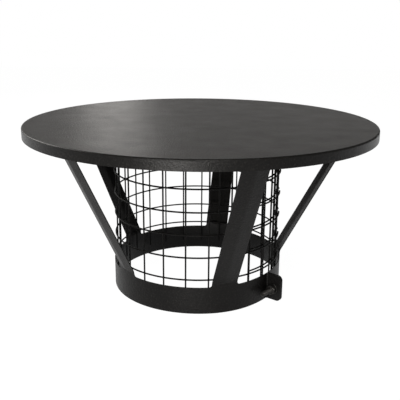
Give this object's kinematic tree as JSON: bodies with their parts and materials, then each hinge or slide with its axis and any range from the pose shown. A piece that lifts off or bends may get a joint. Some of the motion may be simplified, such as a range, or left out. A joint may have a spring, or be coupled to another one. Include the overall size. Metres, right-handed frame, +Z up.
{
  "type": "flue rain cap",
  "caption": "Round flat rain cap lid on slanted creased legs over a bolted clamp collar, with a rolled welded wire bird mesh inside the legs.",
  "frame": {"origin": "On the lid's axis, level with the lower rim of the collar.", "axes": "+Z up through the lid, +X to the right and -Y to the front as in the picture; the clamp bolt is at the front right."},
  "size_m": [0.4, 0.4, 0.1924],
  "materials": {
    "lid_black": "black powder coat, fine grain, half matt",
    "collar_black": "black powder coat, fine grain, half matt",
    "mesh_black": "black coated wire",
    "bolt_black": "blackened steel",
    "nut_black": "blackened steel",
    "washer_black": "blackened steel"
  },
  "bodies": {
    "cap": {"collar": "collar_black", "lid": "lid_black", "mesh_hoop_1": "mesh_black", "mesh_hoop_2": "mesh_black", "mesh_hoop_3": "mesh_black", "mesh_hoop_4": "mesh_black", "mesh_hoop_5": "mesh_black", "mesh_hoop_6": "mesh_black", "mesh_hoop_7": "mesh_black", "mesh_upright_01": "mesh_black", "mesh_upright_02": "mesh_black", "mesh_upright_03": "mesh_black", "mesh_upright_04": "mesh_black", "mesh_upright_05": "mesh_black", "mesh_upright_06": "mesh_black", "mesh_upright_07": "mesh_black", "mesh_upright_08": "mesh_black", "mesh_upright_09": "mesh_black", "mesh_upright_10": "mesh_black", "mesh_upright_11": "mesh_black", "mesh_upright_12": "mesh_black", "mesh_upright_13": "mesh_black", "mesh_upright_14": "mesh_black", "mesh_upright_15": "mesh_black", "mesh_upright_16": "mesh_black", "mesh_upright_17": "mesh_black", "mesh_upright_18": "mesh_black", "mesh_upright_19": "mesh_black", "mesh_upright_20": "mesh_black", "mesh_upright_21": "mesh_black", "mesh_upright_22": "mesh_black", "mesh_upright_23": "mesh_black", "mesh_upright_24": "mesh_black", "mesh_upright_25": "mesh_black", "mesh_upright_26": "mesh_black", "mesh_upright_27": "mesh_black", "mesh_upright_28": "mesh_black", "mesh_upright_29": "mesh_black"},
    "bolt": {"clamp_bolt": "bolt_black"},
    "washer": {"clamp_washer": "washer_black"},
    "nut": {"clamp_nut": "nut_black"}
  },
  "joints": [
    {"name": "bolt_turn", "type": "hinge", "parent": "cap", "child": "bolt", "pos_m": [0.08443, -0.06577, 0.0136], "axis": [-0.6427, -0.7661, 0], "continuous": true},
    {"name": "washer_slide", "type": "slide", "parent": "cap", "child": "washer", "axis": [-0.6427, -0.7661, 0], "range_m": [0, 0.0141]},
    {"name": "nut_turn", "type": "hinge", "parent": "washer", "child": "nut", "pos_m": [0.08443, -0.06577, 0.0136], "axis": [-0.6427, -0.7661, 0], "range_deg": [0, 5040]}
  ],
  "couplings": [
    {"joint": "washer_slide", "follows": "nut_turn", "m_per_rad": 0.00015915}
  ]
}
